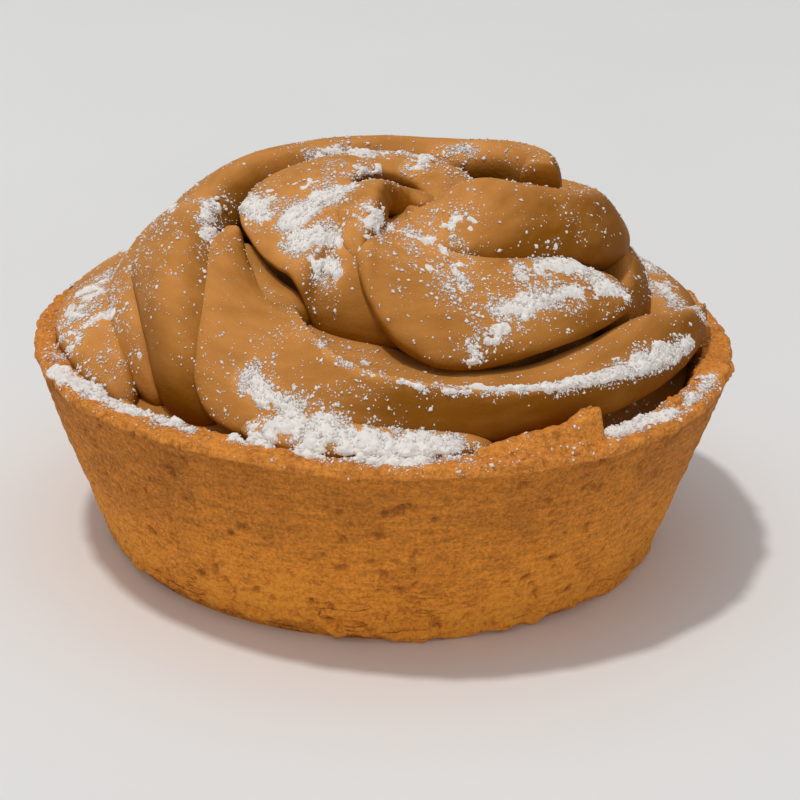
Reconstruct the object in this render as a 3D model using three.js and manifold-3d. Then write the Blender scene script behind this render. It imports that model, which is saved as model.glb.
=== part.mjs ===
// Chestnut cream tart: a shortcrust case filled with chestnut cream that rises as a piped swirl.
// Millimetres, +Z up. The tart stands on z = 0, its axis is the Z axis and its front faces -Y.

import * as THREE from 'three';
import { ParametricGeometry } from 'three/addons/geometries/ParametricGeometry.js';
import { mergeVertices } from 'three/addons/utils/BufferGeometryUtils.js';
import Module from 'manifold-3d';

const wasm = await Module();
wasm.setup();

// Driving dimensions of the shortcrust case
const rimRadius = 40;
const baseRadius = 32.4;
const caseHeight = 24;
const wallThickness = 4;
const floorThickness = 4;
const footRound = 1.5;
const rimRound = 1;

// Unevenness of the baked case
const rimRipple = 0.3;
const wallRipple = 0.22;
const footLift = 0.5;
const chipStart = -165;
const chipEnd = -97;
const chipHeight = 0.9;
const flapStart = -74;
const flapEnd = -52;
const flapHeight = 3;

// Driving dimensions of the cream
const clearance = 0.35;
const fillBelowRim = 2.4;
const moundRadius = 30;
const moundTop = 14;
const moundSlope = 0.72;
const moundRound = 10;
const ribbonSquareness = 2.8;

// Fineness of the surfaces
const rimSegments = 84;
const wallRows = 5;
const moundSegments = 42;
const moundRows = 6;
const ribbonTurn = 9;
const stationSteps = 2;
const ribbonSides = 14;
const mergeDistance = 1e-3;

// Folds of cream with proud lips. A station holds the bearing in degrees (-90 is the front, the swirl runs
// clockwise), the distance from the axis and the height above the rim of the outer edge, the same of the
// inner edge, the thickness below the edges and the crown by which the top swells between them.
const folds = {
  frontBand: {
    stations: [
      [-8, 36.2, 0.8, 36, 1.8, 0.8, 0],
      [-20, 35.4, 0.4, 35, 2.9, 1.8, 0.1],
      [-37, 34.7, 0, 34.2, 4.1, 2.6, 0.2],
      [-57, 34.3, -0.2, 34, 4.7, 2.8, 0.1],
      [-72, 34.5, -0.3, 33.8, 5.6, 2.4, 0],
      [-80, 34.9, -0.3, 33.4, 6.4, 2, 0],
      [-88, 35.2, -0.2, 32.6, 7.1, 1.7, 0],
      [-94, 35.5, -0.1, 31.3, 7.5, 1.6, 0],
      [-100, 35.6, 0, 29.3, 8.3, 1.6, 0],
      [-105, 35.6, 0, 27.2, 9.1, 1.6, 0.2],
      [-110, 35.4, 0.1, 24.8, 9.6, 1.6, 0.6],
      [-117, 35, 0.5, 21.3, 9.8, 1.8, 1.2],
      [-124, 33.8, 2, 19, 9.8, 2.2, 1.9],
      [-132, 31, 5.4, 19.2, 10.5, 2, 1.8],
      [-142, 27.6, 8.2, 19.3, 12.7, 2, 1.2],
      [-148, 25.2, 10, 18.8, 14, 1.8, 0.8],
      [-153, 22.8, 11.8, 18.5, 14.9, 1.6, 0.4],
      [-160, 19.8, 13.6, 18, 14.5, 0.8, 0],
    ],
    firstCap: 0.08,
    lastCap: 0.05,
  },
  rightShelf: {
    stations: [
      [6, 38, 2.4, 37, 3.4, 1, 0],
      [-8, 37, 1.8, 34.3, 5.6, 2.5, 0.3],
      [-22, 35.8, 1.8, 30.4, 7, 3, 0.5],
      [-40, 34.4, 2.4, 27.5, 6, 3, 0.6],
      [-55, 33.6, 2.8, 26, 5, 3, 0.5],
      [-70, 32.4, 3.6, 24, 5, 3, 0.4],
      [-82, 32.8, 4.3, 21, 5.7, 2.8, 0],
      [-92, 31.8, 4.9, 18.5, 6.4, 2.6, 0],
      [-101, 29.4, 5.7, 17, 6.7, 2.4, 0],
      [-110, 25.4, 6.7, 16, 7.2, 2.2, 0],
      [-119, 22, 7.6, 15, 8, 2, 0],
      [-130, 20.5, 8.4, 14.5, 8.8, 1.6, 0],
    ],
  },
  frontTongue: {
    stations: [
      [-10, 27.6, 8.2, 24, 9.6, 1.4, 0],
      [-20, 29.6, 8.6, 18, 12.2, 2.2, 0.5],
      [-30, 29.2, 8.2, 9, 15.4, 2.6, 1],
      [-42, 28.7, 7.9, 3, 16.4, 2.6, 1.6],
      [-52, 28.3, 7.5, 1, 16.4, 2.6, 2],
      [-62, 28.1, 7, 0.5, 15.4, 2.6, 2.6],
      [-70, 28, 6.9, 1, 15.2, 2.8, 2.8],
      [-77, 27.6, 7.3, 1.5, 15, 2.9, 2.9],
      [-84, 25.9, 8.5, 2, 14.8, 3, 2.9],
      [-88, 24.4, 9.6, 2, 14.8, 3.1, 2.8],
      [-92, 22.2, 11.1, 2.5, 14.9, 3.2, 2.5],
      [-96.4, 19.9, 12.9, 3, 15, 3.2, 2.1],
      [-101, 16.6, 14.4, 3.5, 15.1, 3.2, 1.8],
      [-108.6, 12.6, 15.9, 3.5, 15.2, 3.2, 1.5],
      [-119, 9.2, 16.6, 3.5, 15.2, 3, 1.2],
    ],
    firstCap: 0.08,
    lastCap: 0.1,
  },
  innerCoil: {
    stations: [
      [-70, 22.4, 6.8, 12, 11.5, 3.5, 1],
      [-80, 22.4, 7.6, 12, 13, 4, 1.5],
      [-88, 22, 7.9, 11, 14.2, 4.2, 2],
      [-96, 21.7, 7.5, 10, 15.2, 4.4, 2.2],
      [-103, 21.5, 7.3, 9, 16.2, 4.2, 2.2],
      [-108, 21.4, 7.6, 8, 16.6, 4, 2],
      [-112, 21.2, 8.8, 7, 17, 3.6, 1.6],
      [-116, 20.6, 11.4, 6, 17.2, 2.6, 1.2],
      [-121, 19.9, 12.8, 5.5, 17.4, 1.8, 1],
      [-128, 19.3, 13, 4.6, 17.8, 1.6, 0.9],
      [-137, 18.8, 13.6, 4, 18, 1.6, 0.8],
      [-147, 18.4, 14.9, 4, 18.2, 1.8, 0.6],
      [-160, 17.6, 15.4, 4, 18.3, 2.2, 0.5],
      [-180, 16.4, 16, 4, 18.4, 2.6, 0.5],
      [-210, 15.2, 16.7, 4, 18.6, 2.8, 0.4],
      [-250, 13.8, 17.4, 4, 18.6, 2.8, 0.4],
      [-300, 12.8, 17.2, 4, 18, 2.8, 0.4],
      [-350, 11.5, 16.4, 3.5, 17, 2.6, 0.4],
      [-400, 9.5, 15.6, 2.5, 16, 2.4, 0.3],
    ],
    firstCap: 0.06,
  },
};

// Round rolls of cream. A station holds the bearing, the distance from the pivot and the height above the
// rim of the roll's middle, half its width, half its thickness and the angle by which its outer edge dips.
const rolls = {
  outerCoil: {
    stations: [
      [-138, 31.4, -2, 2.2, 2.8, 62],
      [-156, 29, 2, 3.8, 3.2, 64],
      [-180, 27.4, 5, 4.6, 3.6, 60],
      [-215, 25.6, 7, 5, 3.8, 58],
      [-260, 24.6, 7.8, 5, 3.8, 55],
      [-300, 25, 8.2, 5, 3.8, 55],
      [-335, 25.4, 9.6, 4.8, 3.9, 55],
      [-360, 21.6, 12.2, 4.6, 4, 53],
      [-378, 16.4, 14.2, 5.2, 3.6, 42],
      [-395, 12.4, 15, 6, 3, 32],
      [-415, 8.5, 13.6, 5, 2.3, 18],
      [-434, 7.5, 12.6, 3.4, 1.9, 12],
    ],
    lastCap: 0.06,
  },
  crownCoil: {
    stations: [
      [-124, 31, -2, 3, 3.2, 88],
      [-133, 29.2, 1.4, 4.4, 3.8, 85],
      [-143, 27, 6, 4.7, 4, 76],
      [-158, 24.6, 8.8, 5.6, 4.1, 58],
      [-180, 22.8, 9.4, 6.6, 4.2, 45],
      [-212, 20.4, 11.4, 6.4, 4.2, 45],
      [-250, 18.2, 12.4, 6, 4.2, 45],
      [-290, 17.6, 13.2, 5, 4, 52],
      [-318, 18.6, 14.4, 4.8, 3.2, 74],
      [-340, 18.4, 15.2, 4.8, 2.6, 86],
      [-354, 17.2, 15.2, 4.6, 2.3, 86],
    ],
    lastCap: 0.02,
  },
  backShoulder: {
    stations: [
      [-225, 27.5, 2.5, 4, 3, 50],
      [-265, 28, 3.6, 5, 4, 50],
      [-335, 27.6, 4.8, 5, 4, 50],
      [-358, 28.4, 3.2, 4.8, 2.4, 66],
      [-378, 26.8, 2.2, 3.8, 2, 60],
    ],
  },
  backFoot: {
    stations: [
      [-142, 34, -2.4, 2, 2, 24],
      [-160, 33.3, -0.2, 3.6, 3, 24],
      [-185, 33.2, 0.6, 4.6, 3.2, 24],
      [-300, 33, 1, 4.8, 3.2, 24],
      [-345, 33, 1.2, 4.4, 3.2, 24],
      [-375, 32, -0.4, 3, 3, 24],
    ],
  },
  frontFoot: {
    stations: [
      [-70, 35.2, -0.3, 1.2, 1.1, 20],
      [-80, 35.2, 0.2, 2, 1.3, 24],
      [-90, 35, 0.4, 2.3, 1.4, 28],
      [-99, 34.8, 0.5, 2.6, 1.5, 32],
      [-107, 34.5, 0.5, 2.2, 1.4, 36],
      [-115, 34.1, 0.2, 1.2, 0.9, 40],
    ],
  },
  tuckedFold: {
    stations: [
      [-113, 20.4, 7.4, 1, 1, 15],
      [-121, 20, 8.5, 2, 1.3, 15],
      [-129, 19.5, 9, 2.2, 1.4, 15],
      [-137, 18.9, 9.8, 2, 1.4, 15],
      [-145, 18.4, 11.2, 1.6, 1.4, 15],
      [-152, 18, 12.6, 1, 1, 15],
    ],
  },
  eyeCurl: {
    stations: [
      [-112, 11.6, 13.2, 0.8, 0.9, 40],
      [-126, 8.2, 14.8, 2.2, 1.8, 36],
      [-145, 5.7, 16.1, 2.8, 2.2, 28],
      [-175, 4.5, 16.7, 2.8, 2.2, 24],
      [-205, 4.2, 16.8, 2.6, 2.1, 18],
      [-235, 4.5, 16.3, 2.4, 2, 14],
      [-268, 4.9, 15.3, 2.4, 1.9, 10],
      [-300, 5, 14.8, 2.2, 1.8, 8],
      [-330, 4.8, 14.2, 1.4, 1.3, 8],
    ],
    pivot: [1.9, -5.6],
  },
};

const { clamp, degToRad, lerp, radToDeg, smoothstep } = THREE.MathUtils;
const up = new THREE.Vector3(0, 0, 1);

// A closed geometry as a solid: vertices merged, triangles that shrank to a line dropped
function solid(geometry) {
  geometry.deleteAttribute('normal');
  geometry.deleteAttribute('uv');
  const merged = mergeVertices(geometry, mergeDistance);
  const corners = merged.index.array;
  const kept = [];
  for (let i = 0; i < corners.length; i += 3) {
    const [a, b, c] = corners.subarray(i, i + 3);
    if (a !== b && b !== c && c !== a) kept.push(a, b, c);
  }
  const vertProperties = Float32Array.from(merged.attributes.position.array);
  const triVerts = Uint32Array.from(kept);
  return new wasm.Manifold(new wasm.Mesh({ numProp: 3, vertProperties, triVerts }));
}

// A solid as a geometry
function surface(body) {
  const { numProp, vertProperties, triVerts } = body.getMesh();
  const geometry = new THREE.BufferGeometry();
  geometry.setAttribute('position', new THREE.BufferAttribute(vertProperties, numProp));
  geometry.setIndex(new THREE.BufferAttribute(triVerts, 1));
  return geometry;
}

// The corners of a geometry's triangles, shell by shell
function shells(geometry) {
  const corners = geometry.index.array;
  const owner = Array.from({ length: geometry.attributes.position.count }, (_, vertex) => vertex);
  const root = (vertex) => {
    let top = vertex;
    while (owner[top] !== top) top = owner[top];
    owner[vertex] = top;
    return top;
  };
  for (let i = 0; i < corners.length; i += 3) {
    owner[root(corners[i + 1])] = root(corners[i]);
    owner[root(corners[i + 2])] = root(corners[i]);
  }
  const found = new Map();
  for (let i = 0; i < corners.length; i += 3) {
    const shell = root(corners[i]);
    if (!found.has(shell)) found.set(shell, []);
    found.get(shell).push(...corners.subarray(i, i + 3));
  }
  return [...found.values()].sort((a, b) => b.length - a.length);
}

// A solid's outer shell as a geometry: shut-in hollows and loose scraps are left out until none remains
function outerShell(body) {
  const geometry = surface(body);
  const [largest, ...others] = shells(geometry);
  geometry.setIndex(largest);
  const settled = solid(geometry.clone());
  if (others.length > 0 || shells(surface(settled)).length > 1) return outerShell(settled);
  geometry.computeVertexNormals();
  return geometry;
}

// A profile of radius and height turned round the Z axis
function turned(profile, segments) {
  return new THREE.LatheGeometry(profile, segments).rotateX(Math.PI / 2);
}

// Inner radius of the case at a height
function innerRadius(height) {
  const share = (height - floorThickness) / (caseHeight - rimRound - floorThickness);
  return lerp(baseRadius, rimRadius, share) - wallThickness;
}

// Outline of the case from the middle of its base, up the wall and over the rim to the middle of its floor.
// Grown inwards and upwards by the clearance, it is what the cream keeps out of.
function caseProfile(growth) {
  const top = caseHeight + growth;
  const innerRim = rimRadius - wallThickness - growth;
  const outline = new THREE.Path();
  outline.moveTo(0, 0);
  outline.lineTo(baseRadius - footRound, 0);
  outline.quadraticCurveTo(baseRadius, 0, baseRadius, footRound);
  for (let row = 1; row <= wallRows; row++) {
    const share = row / wallRows;
    outline.lineTo(lerp(baseRadius, rimRadius, share), lerp(footRound, caseHeight - rimRound, share));
  }
  outline.quadraticCurveTo(rimRadius, top, rimRadius - rimRound, top);
  outline.lineTo(rimRadius - wallThickness / 2, top);
  outline.lineTo(innerRim + rimRound / 2, top);
  outline.lineTo(innerRim, caseHeight - rimRound);
  outline.lineTo(innerRadius(floorThickness) - growth, floorThickness + growth);
  outline.lineTo(0, floorThickness + growth);
  return outline.getPoints(2);
}

// A wave of three lengths round the case, between -1 and 1
function ripple(bearing, phase) {
  const long = Math.sin(3 * bearing + phase);
  const middle = Math.sin(7 * bearing + 4 * phase);
  const short = Math.sin(13 * bearing + 2 * phase);
  return 0.5 * long + 0.3 * middle + 0.2 * short;
}

// Share of the flap's height at a bearing: a ramp round the rim, then the broken end
function flapShare(bearing) {
  const degrees = radToDeg(bearing);
  return degrees > flapEnd ? 0 : clamp((degrees - flapStart) / (flapEnd - flapStart), 0, 1);
}

// Share of the chip's height at a bearing: a slow rise along the foot, then a step back down
function chipShare(bearing) {
  const degrees = radToDeg(bearing);
  return smoothstep(degrees, chipStart, chipStart + 30) * (1 - smoothstep(degrees, chipEnd - 6, chipEnd));
}

// The baked case: rippled rim, wavy wall, uneven and chipped foot and a flap of broken rim at the right front
function bakedCase(growth) {
  const geometry = turned(caseProfile(growth), rimSegments);
  const position = geometry.attributes.position;
  for (let i = 0; i < position.count; i++) {
    const point = new THREE.Vector3().fromBufferAttribute(position, i);
    const bearing = Math.atan2(point.y, point.x);
    const radius = Math.hypot(point.x, point.y);
    const outside = radius > lerp(baseRadius, rimRadius, point.z / caseHeight) - wallThickness / 3;
    const onFlap = point.z >= caseHeight && radius < rimRadius - 1.5 * rimRound;
    const atFoot = outside && point.z <= footRound;
    const wave = outside ? wallRipple * ripple(bearing, 2 + point.z / 9) : 0;
    point.x *= 1 + wave / rimRadius;
    point.y *= 1 + wave / rimRadius;
    if (atFoot) point.z += footLift * Math.max(0, ripple(bearing, 5)) + chipHeight * chipShare(bearing);
    point.z += rimRipple * ripple(bearing, 1) * smoothstep(point.z, caseHeight / 2, caseHeight - rimRound);
    if (onFlap) point.z += flapHeight * flapShare(bearing);
    position.setXYZ(i, point.x, point.y, point.z);
  }
  return solid(geometry);
}

// The cream that fills the case and the mound under the ribbons
function creamBody() {
  const bottom = floorThickness + clearance;
  const level = caseHeight - fillBelowRim;
  const profile = [
    new THREE.Vector2(0, bottom),
    new THREE.Vector2(innerRadius(floorThickness) - clearance, bottom),
    new THREE.Vector2(innerRadius(level) - clearance, level),
  ];
  for (let row = 0; row <= moundRows; row++) {
    const radius = moundRadius * (1 - row / moundRows);
    const drop = moundSlope * (Math.hypot(radius, moundRound) - moundRound);
    profile.push(new THREE.Vector2(radius, caseHeight + moundTop - drop));
  }
  return solid(turned(profile, moundSegments));
}

// Values of a ribbon's stations at a share of its length, on a smooth curve through them
function between(stations, share) {
  const place = share * (stations.length - 1);
  const first = Math.min(Math.floor(place), stations.length - 2);
  const t = place - first;
  return stations[0].map((_, column) => {
    const at = (i) => stations[clamp(i, 0, stations.length - 1)][column];
    const b = at(first);
    const c = at(first + 1);
    const a = first === 0 ? 2 * b - c : at(first - 1);
    const d = first === stations.length - 2 ? 2 * c - b : at(first + 2);
    return b + 0.5 * t * (c - a + t * (2 * a - 5 * b + 4 * c - d + t * (3 * (b - c) + d - a)));
  });
}

// A place at a bearing in degrees, a distance out from a pivot and a height above the rim
function placed(bearing, out, rise, [x, y] = [0, 0]) {
  const angle = degToRad(bearing);
  return new THREE.Vector3(x + out * Math.cos(angle), y + out * Math.sin(angle), caseHeight + rise);
}

// Section of a fold at a share of its length, upright on the bearing and hung below its two edges
function foldSection({ stations }, share) {
  const [bearing, outerOut, outerRise, innerOut, innerRise, thickness, crown] = between(stations, share);
  const outer = placed(bearing, outerOut, outerRise);
  const inner = placed(bearing, innerOut, innerRise);
  const angle = degToRad(bearing);
  return {
    middle: new THREE.Vector3().addVectors(outer, inner).multiplyScalar(0.5),
    across: new THREE.Vector3().subVectors(outer, inner).normalize(),
    along: new THREE.Vector3(Math.sin(angle), -Math.cos(angle), 0),
    halfWidth: outer.distanceTo(inner) / 2,
    halfThickness: thickness / 2,
    sink: thickness / 2,
    crown,
  };
}

// Section of a roll at a share of its length, square to its path and banked
function rollSection({ stations, pivot }, share) {
  const centre = (part) => {
    const [bearing, out, rise] = between(stations, clamp(part, 0, 1));
    return placed(bearing, out, rise, pivot);
  };
  const [, , , halfWidth, halfThickness, bank] = between(stations, share);
  const along = centre(share + 0.001).sub(centre(share - 0.001)).normalize();
  const dip = degToRad(bank);
  const across = new THREE.Vector3(-along.y, along.x, 0).normalize().multiplyScalar(Math.cos(dip));
  across.addScaledVector(up, -Math.sin(dip));
  across.addScaledVector(along, -across.dot(along)).normalize();
  return { middle: centre(share), across, along, halfWidth, halfThickness, sink: 0, crown: 0 };
}

// One coordinate of a circle made squarer
function squared(coordinate) {
  return Math.sign(coordinate) * Math.abs(coordinate) ** (2 / ribbonSquareness);
}

// A piped ribbon: its section carried along the stations, with rounded ends
function ribbon(shape, sectionAt) {
  const { stations, firstCap = 0.12, lastCap = 0.12 } = shape;
  const turn = Math.abs(stations.at(-1)[0] - stations[0][0]);
  const steps = Math.round(Math.max(turn / ribbonTurn, stationSteps * (stations.length - 1)));
  const place = (share, round, target) => {
    const { middle, across, along, halfWidth, halfThickness, sink, crown } = sectionAt(shape, share);
    const normal = new THREE.Vector3().crossVectors(across, along).normalize();
    if (normal.z < 0) normal.negate();
    const start = clamp(share / firstCap, 0, 1);
    const end = clamp((1 - share) / lastCap, 0, 1);
    const size = Math.sqrt((1 - (1 - start) ** 2) * (1 - (1 - end) ** 2));
    const aside = squared(Math.cos(2 * Math.PI * round));
    const above = squared(-Math.sin(2 * Math.PI * round));
    target.copy(middle);
    target.addScaledVector(across, size * halfWidth * aside);
    target.addScaledVector(normal, size * (halfThickness * above - sink + crown * (1 - aside ** 2)));
  };
  return solid(new ParametricGeometry(place, steps, ribbonSides));
}

// The case and the cream, which is trimmed to keep clear of the case
const caseSolid = bakedCase(0);
const ribbons = [
  ...Object.values(folds).map((shape) => ribbon(shape, foldSection)),
  ...Object.values(rolls).map((shape) => ribbon(shape, rollSection)),
];
const swirl = ribbons.reduce((whole, piece) => whole.add(piece), creamBody());
const creamSolid = swirl.subtract(bakedCase(clearance));

const crustMaterial = new THREE.MeshStandardMaterial({ color: 0xc07a35, roughness: 0.9, metalness: 0 });
const creamMaterial = new THREE.MeshStandardMaterial({ color: 0xc08a4a, roughness: 0.6, metalness: 0 });

const crust = new THREE.Mesh(outerShell(caseSolid), crustMaterial);
crust.name = 'crust';

const cream = new THREE.Mesh(outerShell(creamSolid), creamMaterial);
cream.name = 'cream';

const tart = new THREE.Group();
tart.add(crust, cream);

export default tart;
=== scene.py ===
import itertools
import math

import bpy
import numpy as np
from mathutils import Matrix, Vector


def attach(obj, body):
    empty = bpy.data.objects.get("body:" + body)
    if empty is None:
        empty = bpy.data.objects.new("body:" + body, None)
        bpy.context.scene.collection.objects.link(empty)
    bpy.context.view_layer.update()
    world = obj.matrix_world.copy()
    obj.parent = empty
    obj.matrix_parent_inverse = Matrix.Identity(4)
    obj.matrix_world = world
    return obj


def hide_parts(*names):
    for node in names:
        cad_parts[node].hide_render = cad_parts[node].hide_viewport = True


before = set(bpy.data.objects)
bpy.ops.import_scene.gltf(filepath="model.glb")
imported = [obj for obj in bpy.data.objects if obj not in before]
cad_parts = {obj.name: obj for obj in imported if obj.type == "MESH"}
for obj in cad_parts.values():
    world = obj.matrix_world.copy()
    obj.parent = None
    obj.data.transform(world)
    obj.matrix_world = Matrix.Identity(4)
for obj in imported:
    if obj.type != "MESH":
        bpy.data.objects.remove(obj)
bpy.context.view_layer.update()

bl_info = {
    "name": "Chestnut Cream Tart",
    "version": (1, 0, 0),
    "blender": (4, 5, 0),
    "location": "View3D > Sidebar > Tart",
    "description": "Builds a shortcrust tart with a piped swirl of chestnut cream and icing sugar",
    "category": "Add Mesh",
}

MM = 0.001

# The lattice of the noise stands askew, so that its rows don't line up with the tart.
ASKEW = np.array(Matrix.Rotation(0.7, 3, (0.4, 0.7, 0.6)))

# The way that the light comes from, for the painted light on the cream: cream that faces it is painted
# palest.
PAINTED_LIGHT_FROM = np.array([-0.4, 0, 0.92])

# Rounded corners of the case in millimetres, and the bearings in degrees between which the broken flap of rim
# ramps up and the chip in the foot comes and goes
FOOT_CORNER = 1.5
RIM_CORNER = 1
FLAP_START, FLAP_END = -75, -52.5
CHIP_START, CHIP_FULL, CHIP_END, CHIP_GONE = -165, -135, -103, -97

# Power of the squared circle that a ribbon has as its section, its rows for each station at least and the
# widest gap between rows in millimetres
SQUARENESS = 2.8
STATION_ROWS = 12
ROW_GAP = 0.6

# Folds of cream with proud lips. A station holds the bearing in degrees (-90 is the front, the swirl runs
# clockwise), the distance from the axis and the height above the rim of the outer edge, the same of the
# inner edge, the thickness below the edges and the crown by which the top swells between them. Lengths are
# in millimetres.
FRONT_BAND = [
    (-8, 36.2, 0.8, 36, 1.8, 0.8, 0),
    (-20, 35.4, 0.4, 35, 2.9, 1.8, 0.1),
    (-37, 34.7, 0, 34.2, 4.1, 2.6, 0.2),
    (-57, 34.3, -0.2, 34, 4.7, 2.8, 0.1),
    (-72, 34.5, -0.3, 33.8, 5.6, 2.4, 0),
    (-80, 34.9, -0.3, 33.4, 6.4, 2, 0),
    (-88, 35.2, -0.2, 32.6, 7.1, 1.7, 0),
    (-94, 35.5, -0.1, 31.3, 7.5, 1.6, 0),
    (-100, 35.6, 0, 29.3, 8.3, 1.6, 0),
    (-105, 35.6, 0, 27.2, 9.1, 1.6, 0.2),
    (-110, 35.4, 0.1, 24.8, 9.6, 1.6, 0.6),
    (-117, 35, 0.5, 21.3, 9.8, 1.8, 1.2),
    (-124, 33.8, 2, 19, 9.8, 2.2, 1.9),
    (-132, 31, 5.4, 19.2, 10.5, 2, 1.8),
    (-142, 27.6, 8.2, 19.3, 12.7, 2, 1.2),
    (-148, 25.2, 10, 18.8, 14, 1.8, 0.8),
    (-153, 22.8, 11.8, 18.5, 14.9, 1.6, 0.4),
    (-160, 19.8, 13.6, 18, 14.5, 0.8, 0),
]
RIGHT_SHELF = [
    (6, 38, 2.4, 37, 3.4, 1, 0),
    (-8, 37, 1.8, 34.3, 5.6, 2.5, 0.3),
    (-22, 35.8, 1.8, 30.4, 7, 3, 0.5),
    (-40, 34.4, 2.4, 27.5, 6, 3, 0.6),
    (-55, 33.6, 2.8, 26, 5, 3, 0.5),
    (-70, 32.4, 3.6, 24, 5, 3, 0.4),
    (-82, 32.8, 4.3, 21, 5.7, 2.8, 0),
    (-92, 31.8, 4.9, 18.5, 6.4, 2.6, 0),
    (-101, 29.4, 5.7, 17, 6.7, 2.4, 0),
    (-110, 25.4, 6.7, 16, 7.2, 2.2, 0),
    (-119, 22, 7.6, 15, 8, 2, 0),
    (-130, 20.5, 8.4, 14.5, 8.8, 1.6, 0),
]
FRONT_TONGUE = [
    (-10, 27.6, 8.2, 24, 9.6, 1.4, 0),
    (-20, 29.6, 8.6, 18, 12.2, 2.2, 0.5),
    (-30, 29.2, 8.2, 9, 15.4, 2.6, 1),
    (-42, 28.7, 7.9, 3, 16.4, 2.6, 1.6),
    (-52, 28.3, 7.5, 1, 16.4, 2.6, 2),
    (-62, 28.1, 7, 0.5, 15.4, 2.6, 2.6),
    (-70, 28, 6.9, 1, 15.2, 2.8, 2.8),
    (-77, 27.6, 7.3, 1.5, 15, 2.9, 2.9),
    (-84, 25.9, 8.5, 2, 14.8, 3, 2.9),
    (-88, 24.4, 9.6, 2, 14.8, 3.1, 2.8),
    (-92, 22.2, 11.1, 2.5, 14.9, 3.2, 2.5),
    (-96.4, 19.9, 12.9, 3, 15, 3.2, 2.1),
    (-101, 16.6, 14.4, 3.5, 15.1, 3.2, 1.8),
    (-108.6, 12.6, 15.9, 3.5, 15.2, 3.2, 1.5),
    (-119, 9.2, 16.6, 3.5, 15.2, 3, 1.2),
]
INNER_COIL = [
    (-70, 22.4, 6.8, 12, 11.5, 3.5, 1),
    (-80, 22.4, 7.6, 12, 13, 4, 1.5),
    (-88, 22, 7.9, 11, 14.2, 4.2, 2),
    (-96, 21.7, 7.5, 10, 15.2, 4.4, 2.2),
    (-103, 21.5, 7.3, 9, 16.2, 4.2, 2.2),
    (-108, 21.4, 7.6, 8, 16.6, 4, 2),
    (-112, 21.2, 8.8, 7, 17, 3.6, 1.6),
    (-116, 20.6, 11.4, 6, 17.2, 2.6, 1.2),
    (-121, 19.9, 12.8, 5.5, 17.4, 1.8, 1),
    (-128, 19.3, 13, 4.6, 17.8, 1.6, 0.9),
    (-137, 18.8, 13.6, 4, 18, 1.6, 0.8),
    (-147, 18.4, 14.9, 4, 18.2, 1.8, 0.6),
    (-160, 17.6, 15.4, 4, 18.3, 2.2, 0.5),
    (-180, 16.4, 16, 4, 18.4, 2.6, 0.5),
    (-210, 15.2, 16.7, 4, 18.6, 2.8, 0.4),
    (-250, 13.8, 17.4, 4, 18.6, 2.8, 0.4),
    (-300, 12.8, 17.2, 4, 18, 2.8, 0.4),
    (-350, 11.5, 16.4, 3.5, 17, 2.6, 0.4),
    (-400, 9.5, 15.6, 2.5, 16, 2.4, 0.3),
]
# Each fold, with the share of its length over which an end closes, where that isn't the usual one
FOLDS = [
    {"stations": FRONT_BAND, "first_cap": 0.08, "last_cap": 0.05},
    {"stations": RIGHT_SHELF},
    {"stations": FRONT_TONGUE, "first_cap": 0.08, "last_cap": 0.1},
    {"stations": INNER_COIL, "first_cap": 0.06},
]

# Round rolls of cream. A station holds the bearing, the distance from the pivot and the height above the rim
# of the roll's middle, half its width, half its thickness and the angle by which its outer edge dips.
OUTER_COIL = [
    (-138, 31.4, -2, 2.2, 2.8, 62),
    (-156, 29, 2, 3.8, 3.2, 64),
    (-180, 27.4, 5, 4.6, 3.6, 60),
    (-215, 25.6, 7, 5, 3.8, 58),
    (-260, 24.6, 7.8, 5, 3.8, 55),
    (-300, 25, 8.2, 5, 3.8, 55),
    (-335, 25.4, 9.6, 4.8, 3.9, 55),
    (-360, 21.6, 12.2, 4.6, 4, 53),
    (-378, 16.4, 14.2, 5.2, 3.6, 42),
    (-395, 12.4, 15, 6, 3, 32),
    (-415, 8.5, 13.6, 5, 2.3, 18),
    (-434, 7.5, 12.6, 3.4, 1.9, 12),
]
CROWN_COIL = [
    (-124, 31, -2, 3, 3.2, 88),
    (-133, 29.2, 1.4, 4.4, 3.8, 85),
    (-143, 27, 6, 4.7, 4, 76),
    (-158, 24.6, 8.8, 5.6, 4.1, 58),
    (-180, 22.8, 9.4, 6.6, 4.2, 45),
    (-212, 20.4, 11.4, 6.4, 4.2, 45),
    (-250, 18.2, 12.4, 6, 4.2, 45),
    (-290, 17.6, 13.2, 5, 4, 52),
    (-318, 18.6, 14.4, 4.8, 3.2, 74),
    (-340, 18.4, 15.2, 4.8, 2.6, 86),
    (-354, 17.2, 15.2, 4.6, 2.3, 86),
]
BACK_SHOULDER = [
    (-225, 27.5, 2.5, 4, 3, 50),
    (-265, 28, 3.6, 5, 4, 50),
    (-335, 27.6, 4.8, 5, 4, 50),
    (-358, 28.4, 3.2, 4.8, 2.4, 66),
    (-378, 26.8, 2.2, 3.8, 2, 60),
]
BACK_FOOT = [
    (-142, 34, -2.4, 2, 2, 24),
    (-160, 33.3, -0.2, 3.6, 3, 24),
    (-185, 33.2, 0.6, 4.6, 3.2, 24),
    (-300, 33, 1, 4.8, 3.2, 24),
    (-345, 33, 1.2, 4.4, 3.2, 24),
    (-375, 32, -0.4, 3, 3, 24),
]
FRONT_FOOT = [
    (-70, 35.2, -0.3, 1.2, 1.1, 20),
    (-80, 35.2, 0.2, 2, 1.3, 24),
    (-90, 35, 0.4, 2.3, 1.4, 28),
    (-99, 34.8, 0.5, 2.6, 1.5, 32),
    (-107, 34.5, 0.5, 2.2, 1.4, 36),
    (-115, 34.1, 0.2, 1.2, 0.9, 40),
]
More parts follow.
